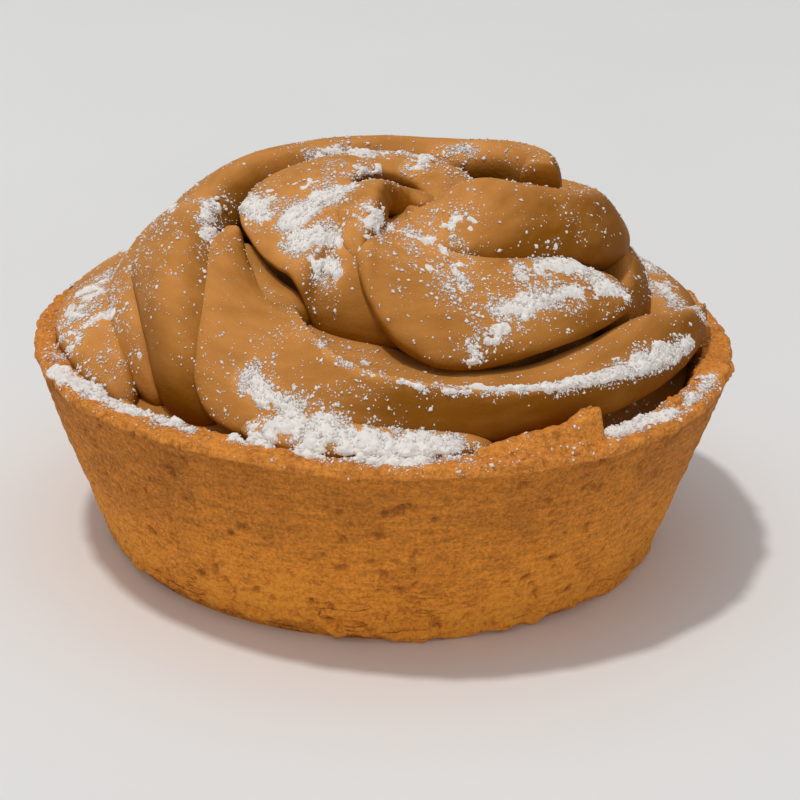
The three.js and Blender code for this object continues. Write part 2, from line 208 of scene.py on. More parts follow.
TUCKED_FOLD = [
    (-113, 20.4, 7.4, 1, 1, 15),
    (-121, 20, 8.5, 2, 1.3, 15),
    (-129, 19.5, 9, 2.2, 1.4, 15),
    (-137, 18.9, 9.8, 2, 1.4, 15),
    (-145, 18.4, 11.2, 1.6, 1.4, 15),
    (-152, 18, 12.6, 1, 1, 15),
]
EYE_CURL = [
    (-112, 11.6, 13.2, 0.8, 0.9, 40),
    (-126, 8.2, 14.8, 2.2, 1.8, 36),
    (-145, 5.7, 16.1, 2.8, 2.2, 28),
    (-175, 4.5, 16.7, 2.8, 2.2, 24),
    (-205, 4.2, 16.8, 2.6, 2.1, 18),
    (-235, 4.5, 16.3, 2.4, 2, 14),
    (-268, 4.9, 15.3, 2.4, 1.9, 10),
    (-300, 5, 14.8, 2.2, 1.8, 8),
    (-330, 4.8, 14.2, 1.4, 1.3, 8),
]
# Each roll, with the same, and with the pivot of the one that turns round a point beside the axis
ROLLS = [
    {"stations": OUTER_COIL, "last_cap": 0.06},
    {"stations": CROWN_COIL, "last_cap": 0.02},
    {"stations": BACK_SHOULDER},
    {"stations": BACK_FOOT},
    {"stations": FRONT_FOOT},
    {"stations": TUCKED_FOLD},
    {"stations": EYE_CURL, "pivot": (1.9, -5.6)},
]

# Drifts of icing sugar: a run of points in millimetres, how far the drift reaches from it and how
# densely the sugar lies there, from 0 to 1.
DRIFTS = [
    ([(-14.1, -28.3, 29), (-11.9, -30.6, 27.8), (-9, -32.7, 27.1), (-5, -34.5, 26.3)], 1.8, 1),
    ([(-12, -33.3, 26.4), (-8, -34.9, 25.9), (-3.4, -36.3, 25.3)], 1.9, 1),
    ([(-3.4, -36.3, 25.3), (1.7, -35.9, 25.5), (5.2, -36, 25.1), (8.3, -35.6, 24.8)], 1.9, 1),
    ([(-6.9, -36.5, 24.6), (-2.9, -37.1, 24.3), (1.7, -38, 24.2), (5.3, -36.9, 24)], 1.4, 1),
    ([(-14.4, -33.9, 24.7), (-11.1, -35.1, 24.9)], 1.3, 0.9),
    ([(-6.5, -26.9, 32.5), (-5.1, -28.9, 31.7), (-2.2, -31.1, 30.9), (1.1, -32.4, 30.6)], 0.6, 0.6),
    ([(1.1, -32.4, 30.6), (5.8, -32.8, 29.9), (10.4, -31.8, 29.2)], 0.6, 0.66),
    ([(7.1, -31.3, 29.8), (12.3, -30.7, 29.1), (17.6, -28.1, 28.8)], 0.7, 0.9),
    ([(17.6, -28.1, 28.8), (22, -24.9, 28.5), (26.6, -20.2, 27.9)], 1.2, 1),
    ([(26.6, -20.2, 27.9), (30.2, -15.7, 27.4), (34.1, -10.3, 26.4)], 1.6, 1),
    ([(12.4, -20.2, 33.9), (16.5, -17.3, 34.3), (20.3, -14.8, 34)], 1.9, 0.8),
    ([(15.5, -13.5, 36.1), (18.9, -9.7, 36.1), (22.1, -9.1, 35)], 1.9, 0.95),
    ([(22.1, -9.1, 35), (24.3, -10.5, 34), (25.9, -10.7, 33.2)], 1.6, 0.9),
    ([(9.2, -25.8, 30.3), (11.1, -23.4, 32.1), (14, -20.4, 33.3)], 2, 0.55),
    ([(-1.4, -12, 41.5), (1.5, -10.6, 39.1), (4.2, -11.9, 38.4), (7.2, -12.7, 37.9)], 2.6, 0.62),
    ([(8.3, -14.2, 37.3), (7.5, -18.1, 36)], 2, 0.6),
    ([(-10.8, -9.6, 39.7), (-8.3, -7.1, 40.9), (-5.3, -4.8, 41.6)], 2, 1),
    ([(-9.5, -13, 38.6), (-6.3, -12.7, 39.3)], 2.2, 1),
    ([(-7.9, -15.9, 37.4), (-5.9, -16.3, 36.4)], 1.8, 0.75),
    ([(-19.8, -2, 38.9), (-15.6, -3.8, 39.7), (-13.1, -8.2, 40)], 1.7, 0.75),
    ([(-19.9, -2.7, 38.8), (-20.3, -6.3, 37.6), (-20.2, -9.8, 36.5)], 1.5, 0.75),
    ([(-35.3, -15.8, 23.7), (-31.9, -20.6, 23.9), (-28.8, -23.8, 23.7)], 1.5, 1),
    ([(-28.8, -23.8, 23.7), (-25.2, -27.8, 24), (-19.6, -31.2, 24.1)], 1.1, 0.95),
    ([(-35.2, -11.8, 25.3), (-33.9, -2.8, 27.6), (-32.6, 2.5, 28.2)], 2.8, 0.66),
    ([(-30, 14, 28), (-20, 26, 28), (-8, 32, 28)], 2.8, 0.6),
    ([(24.3, -28.3, 23.9), (27.6, -24.9, 23.4), (30.4, -23, 23.8)], 1.3, 1),
    ([(30.4, -23, 23.8), (32.7, -20.6, 24), (36.5, -12, 24)], 1.2, 0.75),
    ([(32, 4.9, 28.6), (33.1, 1.5, 28), (35.9, -2.5, 28.1)], 2, 0.58),
    ([(8, 33, 27.8), (22, 25, 28), (31, 10, 28.6)], 2.8, 0.6),
    ([(-9.4, 11.4, 40.5), (-5.3, 13.4, 41), (-2.3, 7.8, 42.4)], 1.8, 0.62),
    ([(2.9, 4.8, 41.9), (5.9, 13.2, 41.1), (9.4, 12.8, 41.9)], 1.8, 0.62),
    ([(-31, -6, 29), (-29, -17, 28)], 6, 0.26),
    ([(-18, -18, 34), (-13, -27, 30)], 5, 0.08),
    ([(-20, -2, 38), (-9, -8, 40), (-4, 2, 42)], 6, 0.3),
    ([(0, -12, 40), (6, -14, 37.5), (10, -20, 34.5)], 5.5, 0.32),
    ([(12, -21, 33.5), (20, -13, 35)], 4, 0.32),
    ([(-8, 12, 40.5), (6, 9, 42)], 5, 0.3),
    ([(-2, 22, 36.5), (12, 20, 36)], 5, 0.45),
    ([(-3, -23, 30.2), (3, -25, 29.6)], 4, 0.2),
    ([(4, -7, 40), (8, -9, 38.5)], 4.5, 0.3),
]

# Lamps: the setting that holds the power, the width and the place in metres and the colour
LAMPS = [
    ("key", 0.16, (-0.46, -0.1, 1.94), "FFFBF5"),
    ("fill", 0.5, (0.05, -0.75, 0.1), "FFFCF7"),
    ("ceiling", 1.2, (-0.1, 0.1, 0.9), "FFFDFA"),
]
ROOM_COLOUR = "F8FAFF"

# The places that the lamps shine at and the camera looks at, in metres
LIT = Vector((0, 0, 0.02))
AIM = np.array([0.00204, 0, 0.0151])


def linear(hex_colour):
    """An sRGB hex colour as linear red, green, blue and an alpha of 1."""
    shares = [int(hex_colour[i:i + 2], 16) / 255 for i in (0, 2, 4)]
    return [s / 12.92 if s <= 0.04045 else ((s + 0.055) / 1.055) ** 2.4 for s in shares] + [1.0]


def eased(value, low, high):
    """The share of the way from low to high, kept from 0 to 1 and eased at both ends."""
    share = np.clip((value - low) / (high - low), 0, 1)
    return share * share * (3 - 2 * share)


def bumps(points, size, seed):
    """Smooth noise from -1 to 1 with bumps of that size: hashed values at whole-number corners of a
    lattice, which is turned askew to the axes, blended over each cell with eased shares."""
    place = points @ ASKEW / size
    cell = np.floor(place).astype(np.int64)
    share = place - cell
    ease = share * share * (3 - 2 * share)
    total = np.zeros(points.shape[:-1])
    for corner in itertools.product((0, 1), repeat=3):
        weight = np.prod(np.where(corner, ease, 1 - ease), axis=-1)
        x, y, z = np.moveaxis(cell + corner, -1, 0)
        hashed = (x * 374761393 + y * 668265263 + z * 1440662683 + seed * 974634777) & 0xFFFFFFFF
        hashed = ((hashed ^ (hashed >> 13)) * 1274126177) & 0xFFFFFFFF
        total += weight * (((hashed ^ (hashed >> 16)) & 0xFFFFFF) / 0xFFFFFF)
    return 2 * total - 1


def layered(points, *layers):
    """Noise of several sizes, added up: each layer has its height, the size of its bumps and its seed."""
    return sum(height * bumps(points, size, seed) for height, size, seed in layers)


def closed_surface(grid):
    """Points and faces of a grid whose columns wrap round and whose first and last rows are one point:
    quads between the rows, triangles at the two ends, turned to face outwards."""
    rings = grid[1:-1]
    rows, columns = rings.shape[:2]
    points = np.concatenate([grid[:1, 0], rings.reshape(-1, 3), grid[-1:, 0]])
    number = 1 + np.arange(rows * columns).reshape(rows, columns)
    beside = np.roll(number, -1, axis=1)
    quads = np.stack([number[:-1], beside[:-1], beside[1:], number[1:]], -1).reshape(-1, 4)
    first = np.stack([np.zeros(columns, int), beside[0], number[0]], -1)
    last = np.stack([np.full(columns, len(points) - 1), number[-1], beside[-1]], -1)
    ends = np.concatenate([first, last])
    a, b, c, d = (points[quads[:, i]] for i in range(4))
    volume = (np.cross(a, b) * c).sum() + (np.cross(a, c) * d).sum()
    if volume < 0:
        quads, ends = quads[:, ::-1], ends[:, ::-1]
    return points, quads, ends


def put_mesh(name, points, *face_groups):
    """A mesh object from points in millimetres and groups of faces, each an array with one row of corner
    numbers for each face."""
    corners = np.concatenate([faces.ravel() for faces in face_groups])
    sizes = np.concatenate([np.full(len(faces), faces.shape[1]) for faces in face_groups])
    mesh = bpy.data.meshes.new(name)
    mesh.vertices.add(len(points))
    mesh.vertices.foreach_set("co", (points * MM).astype(np.float32).ravel())
    mesh.loops.add(len(corners))
    mesh.loops.foreach_set("vertex_index", corners.astype(np.int32))
    mesh.polygons.add(len(sizes))
    mesh.polygons.foreach_set("loop_start", (np.cumsum(sizes) - sizes).astype(np.int32))
    mesh.update(calc_edges=True)
    mesh.validate()
    mesh.shade_smooth()
    piece = bpy.data.objects.new(name, mesh)
    bpy.context.scene.collection.objects.link(piece)
    return piece


def put_joined(name, surfaces):
    """One mesh object from several closed surfaces."""
    firsts = np.cumsum([0] + [len(points) for points, _, _ in surfaces])
    points = np.concatenate([points for points, _, _ in surfaces])
    quads = np.concatenate([quads + first for (_, quads, _), first in zip(surfaces, firsts)])
    ends = np.concatenate([ends + first for (_, _, ends), first in zip(surfaces, firsts)])
    return put_mesh(name, points, quads, ends)


def points_of(piece):
    """A piece's vertices in millimetres and its vertex normals, as arrays."""
    mesh = piece.data
    points = np.zeros(len(mesh.vertices) * 3, np.float32)
    normals = np.zeros(len(mesh.vertices) * 3, np.float32)
    mesh.vertices.foreach_get("co", points)
    mesh.vertex_normals.foreach_get("vector", normals)
    return points.reshape(-1, 3).astype(float) / MM, normals.reshape(-1, 3).astype(float)


def triangles_of(piece):
    """The corner numbers of a piece's triangles, as an array."""
    mesh = piece.data
    mesh.calc_loop_triangles()
    corners = np.zeros(len(mesh.loop_triangles) * 3, np.int32)
    mesh.loop_triangles.foreach_get("vertices", corners)
    return corners.reshape(-1, 3)


def keep_values(piece, name, values):
    """Keeps one number for each vertex of a piece, for its material to read."""
    attribute = piece.data.attributes.get(name) or piece.data.attributes.new(name, "FLOAT", "POINT")
    attribute.data.foreach_set("value", values.astype(np.float32))


def plug(tree, node, sockets):
    """Gives named or numbered inputs of a node a value or a link from an output."""
    for socket, value in sockets.items():
        if isinstance(value, bpy.types.NodeSocket):
            tree.links.new(value, node.inputs[socket])
        else:
            node.inputs[socket].default_value = value


def add_node(tree, kind, sockets=None, **settings):
    """Adds a node with its settings and plugs in its inputs."""
    node = tree.nodes.new(kind)
    for setting, value in settings.items():
        setattr(node, setting, value)
    plug(tree, node, sockets or {})
    return node


def noise(tree, place, size, detail=2.0, roughness=0.5):
    """A cloudy pattern from 0 to 1, whose features are that many millimetres apart."""
    return add_node(tree, "ShaderNodeTexNoise", {
        "Vector": place, "Scale": 1 / (size * MM), "Detail": detail, "Roughness": roughness}).outputs["Fac"]


def ranged(tree, value, low, high, first=0.0, last=1.0):
    """A value's way from low to high, as a number on the way from first to last."""
    return add_node(tree, "ShaderNodeMapRange", {
        "Value": value, "From Min": low, "From Max": high, "To Min": first, "To Max": last}).outputs[0]


def reckon(tree, operation, *values, **settings):
    """One step of arithmetic on values and outputs."""
    sockets = dict(enumerate(values))
    return add_node(tree, "ShaderNodeMath", sockets, operation=operation, **settings).outputs[0]


def mixed(tree, share, first, second, **settings):
    """Two colours mixed, with that share of the second."""
    sockets = {0: share, 6: first, 7: second}
    return add_node(tree, "ShaderNodeMix", sockets, data_type="RGBA", **settings).outputs[2]


def kept_value(tree, name):
    """The number that each vertex of a piece keeps under a name."""
    return add_node(tree, "ShaderNodeAttribute", attribute_name=name).outputs["Fac"]


def bumped(tree, height, strength, depth):
    """The normal of a surface with a height pattern that is that many millimetres deep."""
    return add_node(tree, "ShaderNodeBump", {
        "Strength": strength, "Distance": depth * MM, "Height": height}).outputs["Normal"]


def way_round(tree, place, radius):
    """The way round the axis at a radius in millimetres, and the place's own coordinates."""
    axes = add_node(tree, "ShaderNodeSeparateXYZ", {"Vector": place}).outputs
    turn = reckon(tree, "ARCTAN2", axes["Y"], axes["X"])
    return reckon(tree, "MULTIPLY", turn, radius * MM), axes


def new_material(name):
    """An empty node material, and its tree with the Object coordinates and the output shader."""
    material = bpy.data.materials.new(name)
    material.use_nodes = True
    tree = material.node_tree
    tree.nodes.clear()
    place = add_node(tree, "ShaderNodeTexCoord").outputs["Object"]
    shader = add_node(tree, "ShaderNodeBsdfPrincipled")
    add_node(tree, "ShaderNodeOutputMaterial", {"Surface": shader.outputs["BSDF"]})
    return material, tree, place, shader


def length_property(name, description, default, **more):
    """A property that is a length in metres."""
    return bpy.props.FloatProperty(name=name, description=description, default=default, unit="LENGTH", **more)


def angle_property(name, description, degrees):
    """A property that is an angle."""
    return bpy.props.FloatProperty(
        name=name, description=description, default=math.radians(degrees), subtype="ANGLE")


def power_property(name, description, default):
    """A property that is a lamp's power in watts."""
    return bpy.props.FloatProperty(name=name, description=description, default=default, unit="POWER")


def colour_property(name, description, hex_colour):
    """A property that is a colour."""
    return bpy.props.FloatVectorProperty(
        name=name, description=description, size=4, subtype="COLOR", default=linear(hex_colour))


class TartCrustSettings(bpy.types.PropertyGroup):
    """Sizes and colours of the baked case"""

    rim_radius: length_property("Rim Radius", "Outer radius of the rim", 0.04)
    base_radius: length_property("Base Radius", "Outer radius of the base", 0.0324)
    height: length_property("Height", "Height of the rim above the base", 0.024)
    wall: length_property("Wall", "Thickness of the wall and the floor", 0.004)
    flap: length_property("Flap", "Height of the broken flap of rim", 0.003)
    golden: colour_property("Golden", "Colour of the baked wall", "F49A34")
    # Browned is also painted into the pits and cracks as painted shade.
    browned: colour_property("Browned", "Colour of browned patches and pits", "8A4916")
    crisp: colour_property("Crisp", "Colour of the crisp rim", "F0983E")


class TartCreamSettings(bpy.types.PropertyGroup):
    """Unevenness and colours of the cream"""

    unevenness: length_property("Unevenness", "Height of the soft lumps on the cream", 0.00008, precision=5)
    # Chestnut is the colour painted where the cream faces the light, as painted light, and where sugar dusts
    # it.
    chestnut: colour_property("Chestnut", "Colour of the cream's dried top", "DE984E")
    # Deep is painted shade on the cream's flanks, where they turn from the light, and also the tone of its
    # streaks.
    deep: colour_property("Deep", "Colour of the cream's flanks and streaks", "8C5406")


class TartSugarSettings(bpy.types.PropertyGroup):
    """Amount, size and colour of the icing sugar"""

    dust: bpy.props.IntProperty(
        name="Dust", description="Number of the smallest grains among the loose ones", default=40000)
    specks: bpy.props.IntProperty(
        name="Specks", description="Number of loose grains strewn over the tart", default=22000)
    clumps: bpy.props.IntProperty(
        name="Clumps", description="Number of clumps piled in the drifts", default=6000)
    depth: length_property("Depth", "Depth of the drifts", 0.0006, precision=5)
    grain: length_property("Grain", "Usual diameter of a grain", 0.0003, precision=5)
    white: colour_property("White", "Colour of the sugar", "FBF6F1")


class TartStageSettings(bpy.types.PropertyGroup):
    """Camera, light and floor"""

    distance: length_property("Distance", "Distance from the camera to the tart", 0.28)
    elevation: angle_property("Elevation", "Angle of the camera above the floor", 22.4)
    roll: angle_property("Roll", "Tilt of the camera about its view", 1.75)
    lens: bpy.props.FloatProperty(
        name="Lens", description="Focal length on a sensor 36 mm wide", default=107.6)
    key: power_property("Key Light", "Power of the light above the tart", 15)
    ceiling: power_property("Ceiling Light", "Power of the wide soft light above the tart", 1.4)
    fill: power_property("Fill Light", "Power of the low soft light in front of the tart", 1.2)
    sky: bpy.props.FloatProperty(
        name="Room Light", description="Strength of the even light of the room", default=0.34)
    floor: colour_property("Floor", "Colour of the floor", "F1F2F2")


def ripple(bearing, phase):
    """A wave of three lengths round the case, between -1 and 1."""
    waves = 0.5 * np.sin(3 * bearing + phase)
    waves = waves + 0.3 * np.sin(7 * bearing + 4 * phase)
    return waves + 0.2 * np.sin(13 * bearing + 2 * phase)


def case_profile(settings):
    """Radius and height along the case's outline, from the middle of the base over the foot, the wall and
    the rim to the middle of the floor: straight runs and two rounded corners, finest where they show."""
    rim, base = settings.rim_radius / MM, settings.base_radius / MM
    height, wall = settings.height / MM, settings.wall / MM
    inside, slant = rim - wall, 0.5
    t = np.linspace(0, 1, 8)[:-1, None]

    def run(start, end, steps):
        share = np.linspace(0, 1, steps + 1)[:-1, None]
        return (1 - share) * np.array(start) + share * np.array(end)

    def corner(start, bend, end):
        return (1 - t) ** 2 * np.array(start) + 2 * t * (1 - t) * np.array(bend) + t ** 2 * np.array(end)

    return np.concatenate([
        run((0, 0), (base - FOOT_CORNER, 0), 6),
        corner((base - FOOT_CORNER, 0), (base, 0), (base, FOOT_CORNER)),
        run((base, FOOT_CORNER), (rim, height - RIM_CORNER), 72),
        corner((rim, height - RIM_CORNER), (rim, height), (rim - RIM_CORNER, height)),
        run((rim - RIM_CORNER, height), (inside + slant, height), 10),
        run((inside + slant, height), (inside, height - RIM_CORNER), 3),
        run((inside, height - RIM_CORNER), (base - wall, wall), 6),
        run((base - wall, wall), (0, wall), 4),
        [(0, wall)],
    ])


def case_grid(settings, columns=700):
    """The baked case: the outline turned round the axis and moved along its own normals by noise, as lumps
    and grain, less pits and cracks, with crumbs along the rim and a ragged foot. Slow waves ripple the wall
    and the rim, the foot is lifted unevenly and chipped, and a ramp of broken rim stands up as a flap."""
    outline = case_profile(settings)
    slope = unit(np.gradient(outline, axis=0))
    bearing = np.linspace(-np.pi, np.pi, columns, endpoint=False)[None, :]
    radius = outline[:, 0, None] + 0 * bearing
    height = outline[:, 1, None] + 0 * bearing
    rim, base = settings.rim_radius / MM, settings.base_radius / MM
    top, wall = settings.height / MM, settings.wall / MM
    smooth = np.stack([radius * np.cos(bearing), radius * np.sin(bearing), height], -1)
    outside = radius > base + (rim - base) * height / top - wall / 3
    on_rim = (height >= top - RIM_CORNER - 0.01) & (radius > rim - wall - 0.01)
    shown = outside | on_rim

    lumps = layered(smooth, (0.16, 7, 1), (0.09, 2.4, 2))
    grain = layered(smooth, (0.1, 1.0, 3), (0.12, 0.6, 4))
    pits = 0.3 * eased(layered(smooth, (0.6, 1.2, 5), (0.5, 0.7, 12)), 0.36, 0.7)
    crumbs = layered(smooth, (0.24, 1.2, 6), (0.2, 3.1, 7), (0.18, 0.7, 16))
    ragged = (1 - eased(height, 1, 5)) * layered(smooth, (0.3, 1.7, 14), (0.18, 0.8, 15))
    wander = height + 0.5 * bumps(smooth, 2.2, 13)
    flat = np.stack([bearing * base / 4.0 + 0 * height, wander / 1.6, 0 * height], -1) @ ASKEW.T
    veins = 1 - np.abs(bumps(flat, 1, 8)) / 0.07
    low = eased(height, 1.5, 3) * eased(-height, -9, -5.5) * eased(bumps(smooth, 5, 9), 0.0, 0.3)
    cracks = 0.34 * np.clip(veins, 0, 1) * low
    relief = np.where(shown, lumps + grain + ragged + np.where(on_rim, crumbs, 0) - pits - cracks, 0)

    wave = np.where(outside, 0.22 * ripple(bearing, 2 + height / 9), 0)
    radius = radius * (1 + wave / rim) + relief * slope[:, 1, None]
    degrees = np.degrees(bearing)
    chip = eased(degrees, CHIP_START, CHIP_FULL) * eased(-degrees, -CHIP_GONE, -CHIP_END)
    patches = eased(bumps(smooth, 5, 10), 0.1, 0.7)
    lift = 0.5 * np.maximum(0, ripple(bearing, 5)) + 0.5 * patches + 0.9 * chip
    foot = np.where(outside, 1 - eased(outline[:, 1, None], 0, 4.5), 0)
    rise = 0.3 * ripple(bearing, 1) * eased(outline[:, 1, None], top / 2, top - RIM_CORNER)
    share = np.clip((degrees - FLAP_START) / (FLAP_END - FLAP_START), 0, 1)
    ramp = np.where(degrees > FLAP_END, 0, share) ** 0.7
    torn = 1 + 0.2 * bumps(smooth, 1.7, 11)
    inner = eased(rim - outline[:, 0, None], 0.9, 2.2) * (outline[:, 1, None] >= top - 0.01)
    height = height - relief * slope[:, 0, None] + foot * lift + rise
    height = height + np.where(on_rim, settings.flap / MM * ramp * torn * inner, 0)
    grid = np.stack([radius * np.cos(bearing), radius * np.sin(bearing), np.maximum(height, 0)], -1)
    # Depth of each pit and crack, kept for the material, which paints shade into them.
    hollow = np.where(shown, np.clip((pits + cracks) / 0.3, 0, 1), 0)
    crisp = np.where(on_rim, 1, 0) * np.ones_like(height)
    return grid, hollow, crisp


def on_closed(values):
    """A grid of values in the order of closed_surface's points."""
    return np.concatenate([values[:1, 0], values[1:-1].ravel(), values[-1:, 0]])


def shortcrust(settings):
    """Baked shortcrust, pressed into a tin: matt and grainy in faint layers, golden with browned patches and
    specks, with painted shade in its pits and cracks and painted light from the floor that makes it paler
    near the foot, browner towards the rim, and a lighter, crisp orange along the rim itself. Sugar lies on
    the top of the rim."""
    material, tree, place, shader = new_material("Baked shortcrust")
    arc, axes = way_round(tree, place, 8)
    rise = axes["Z"]
    wall = add_node(tree, "ShaderNodeCombineXYZ", {"X": arc, "Z": rise}).outputs[0]
    patches = noise(tree, place, 9, 3.0, 0.6)
    specks = noise(tree, place, 1.1, 2.0, 0.7)
    sand = noise(tree, place, 0.42, 3.0, 0.75)
    layers = noise(tree, wall, 0.7, 2.0, 0.6)
    veins = noise(tree, wall, 2.2, 1.5)
    coarse = reckon(tree, "MULTIPLY_ADD", layers, 0.6, sand)

    apart = reckon(tree, "ABSOLUTE", reckon(tree, "SUBTRACT", veins, 0.5))
    thin = ranged(tree, apart, 0.0, 0.014, 0.5, 0.0)
    low = ranged(tree, rise, 4 * MM, 9 * MM, 1.0, 0.0)
    somewhere = ranged(tree, patches, 0.5, 0.58)
    cracks = reckon(tree, "MULTIPLY", thin, reckon(tree, "MULTIPLY", low, somewhere))
    pits = reckon(tree, "MULTIPLY", kept_value(tree, "hollow"), 0.65)

    browned = ranged(tree, patches, 0.45, 0.8, 0.0, 0.35)
    # The wall turns browner from 5 mm up towards the rim.
    baked = ranged(tree, rise, 5 * MM, 22 * MM, 0.0, 0.4)
    toned = mixed(tree, reckon(tree, "ADD", browned, baked), settings.golden[:], settings.browned[:])
    edged = mixed(tree, kept_value(tree, "crisp"), toned, settings.crisp[:])
    dotted = mixed(tree, ranged(tree, specks, 0.56, 0.8, 0.0, 0.5), edged, settings.browned[:])
    # Painted shade: the pits and cracks are painted in the browned colour, as shade lying in them.
    pitted = mixed(tree, reckon(tree, "MAXIMUM", pits, cracks), dotted, settings.browned[:])
    # Painted light: the wall is painted paler towards the foot, as if lit by light thrown up from the floor.
    pale = ranged(tree, rise, 3 * MM, 14 * MM, 1.2, 1.0)
    sanded = ranged(tree, coarse, 0.6, 1.0, 0.66, 1.32)
    shaded = reckon(tree, "MULTIPLY", sanded, pale)
    grainy = mixed(tree, 1.0, pitted, shaded, blend_type="MULTIPLY", clamp_result=True)
    sugared, _ = sugar_coat(tree, place, grainy)
    height = reckon(tree, "MULTIPLY_ADD", cracks, -1.0, reckon(tree, "ADD", coarse, specks))
    plug(tree, shader, {
        "Base Color": sugared,
        "Roughness": ranged(tree, sand, 0.35, 0.65, 0.95, 0.6),
        "Normal": bumped(tree, height, 1.0, 0.5),
        "Specular IOR Level": 0.25,
    })
    return material


def sugar_coat(tree, place, under):
    """The finest sugar as a coat of powder on another material: where the dusting is dense enough, a noise
    of 0.5 mm lets white specks through, which close up to a white coat in the drifts, over a thin veil. Gives
    the coated colour and the share of powder."""
    dusting = kept_value(tree, "dusting")
    heaped = reckon(tree, "ADD", noise(tree, place, 0.5, 2.0, 0.65), dusting)
    powder = ranged(tree, heaped, 1.0, 1.16, 0.0, 0.92)
    cover = reckon(tree, "MAXIMUM", powder, reckon(tree, "MULTIPLY", dusting, 0.08))
    return mixed(tree, cover, under, bpy.context.scene.tart_sugar.white[:]), powder


class TART_OT_crust(bpy.types.Operator):
    """Make the baked shortcrust case"""

    bl_idname = "tart.crust"
    bl_label = "Shortcrust Case"

    def execute(self, context):
        settings = context.scene.tart_crust
        grid, hollow, crisp = case_grid(settings)
        piece = put_mesh("baked_case", *closed_surface(grid))
        keep_values(piece, "hollow", on_closed(hollow))
        keep_values(piece, "crisp", on_closed(crisp))
        piece.data.materials.append(shortcrust(settings))
        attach(piece, "root")
        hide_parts("crust")
        return {"FINISHED"}


def along(stations, shares):
    """Station values at shares of a ribbon's length: a smooth cubic through the stations, whose ends run
    on straight."""
    table = np.asarray(stations, float)
    padded = np.vstack([2 * table[0] - table[1], table, 2 * table[-1] - table[-2]])
    place = shares * (len(table) - 1)
    first = np.minimum(place.astype(int), len(table) - 2)
    t = (place - first)[:, None]
    a, b, c, d = (padded[first + step] for step in range(4))
    return b + 0.5 * t * (c - a + t * (2 * a - 5 * b + 4 * c - d + t * (3 * (b - c) + d - a)))


def placed(bearing, out, height, pivot=(0, 0)):
    """Points at bearings in degrees, distances out from a pivot and heights."""
    angle = np.radians(bearing)
    return np.stack([pivot[0] + out * np.cos(angle), pivot[1] + out * np.sin(angle), height], -1)


def unit(vectors):
    """Vectors brought to a length of 1."""
    return vectors / np.linalg.norm(vectors, axis=-1, keepdims=True)


def fold_sections(stations, shares, rim):
    """Sections of a fold, upright on the bearing and hung below the line from the outer to the inner edge:
    the middles, the ways across and ahead, half the width and thickness, the sink and the crown."""
    bearing, outer_out, outer_rise, inner_out, inner_rise, thickness, crown = along(stations, shares).T
    outer = placed(bearing, outer_out, rim + outer_rise)
    inner = placed(bearing, inner_out, rim + inner_rise)
    ahead = placed(bearing - 90, np.ones_like(bearing), 0 * bearing)
    width = np.linalg.norm(outer - inner, axis=1)
    return (outer + inner) / 2, unit(outer - inner), ahead, width / 2, thickness / 2, thickness / 2, crown


def roll_sections(stations, shares, rim, pivot=(0, 0)):
    """Sections of a roll, as of a fold, but square to its path and banked so that the outer edge dips."""
    bearing, out, rise, half_width, half_thickness, bank = along(stations, shares).T
    middle = placed(bearing, out, rim + rise, pivot)
    ahead = unit(np.gradient(middle, axis=0))
    outward = unit(np.stack([-ahead[:, 1], ahead[:, 0], 0 * out], -1))
    dip = np.radians(bank)[:, None]
    across = np.cos(dip) * outward - np.sin(dip) * np.array([0, 0, 1])
    across = unit(across - ahead * (across * ahead).sum(1)[:, None])
    return middle, across, ahead, half_width, half_thickness, 0 * out, 0 * out


def ribbon_grid(sections_at, stations, columns, rim, first_cap=0.12, last_cap=0.12, **place):
    """A piped ribbon: a squared circle, where |x| and |y| to the power of its squareness add up to 1,
    stretched to each section's width and thickness, sunk below its edges, swollen by its crown and shrunk to
    a point at both ends, over a share of its length that is the cap."""
    stops = sections_at(stations, np.linspace(0, 1, len(stations)), rim, **place)[0]
    length = np.linalg.norm(np.diff(stops, axis=0), axis=1).sum()
    rows = round(max(STATION_ROWS * len(stations), length / ROW_GAP))
    shares = np.linspace(0, 1, rows)
    sections = sections_at(stations, shares, rim, **place)
    middle, across, ahead, half_width, half_thickness, sink, crown = sections
    normal = unit(np.cross(across, ahead))
    normal *= np.where(normal[:, 2:] < 0, -1, 1)
    start = np.clip(shares / first_cap, 0, 1)
    end = np.clip((1 - shares) / last_cap, 0, 1)
    size = np.sqrt((1 - (1 - start) ** 2) * (1 - (1 - end) ** 2))[:, None]
    turn = np.linspace(0, 2 * np.pi, columns, endpoint=False)
    aside = np.sign(np.cos(turn)) * np.abs(np.cos(turn)) ** (2 / SQUARENESS)
    above = np.sign(np.sin(turn)) * np.abs(np.sin(turn)) ** (2 / SQUARENESS)
    rise = half_thickness[:, None] * above - sink[:, None] + crown[:, None] * (1 - aside ** 2)
    sideways = (size * half_width[:, None] * aside)[..., None] * across[:, None]
    return middle[:, None] + sideways + (size * rise)[..., None] * normal[:, None]


def filling_grid(crust, columns=96):
    """The cream that fills the case and the low mound under the ribbons: an outline turned round the axis,
    up along the case's inside and then over a rounded cone."""
    rim, base = crust.rim_radius / MM, crust.base_radius / MM
    top, wall = crust.height / MM, crust.wall / MM
    gap, rim_gap, below_rim = 0.1, 1, 2.4
    mound_radius, mound_height, fall, tip = 30, 14, 0.72, 10
    share = np.linspace(0, 1, 14)[:, None]
    floor = share * np.array([(base - wall - gap, 0)]) + np.array([(0, wall + gap)])
    side = (1 - share) * floor[-1] + share * np.array([(rim - wall - rim_gap, top - below_rim)])
    radius = mound_radius * (1 - share)
    mound = np.hstack([radius, top + mound_height - fall * (np.hypot(radius, tip) - tip)])
    outline = np.concatenate([floor, side[1:], mound])
    bearing = np.linspace(-np.pi, np.pi, columns, endpoint=False)[None, :]
    radius, height = outline[:, 0, None], outline[:, 1, None] + 0 * bearing
    return np.stack([radius * np.cos(bearing), radius * np.sin(bearing), height], -1)


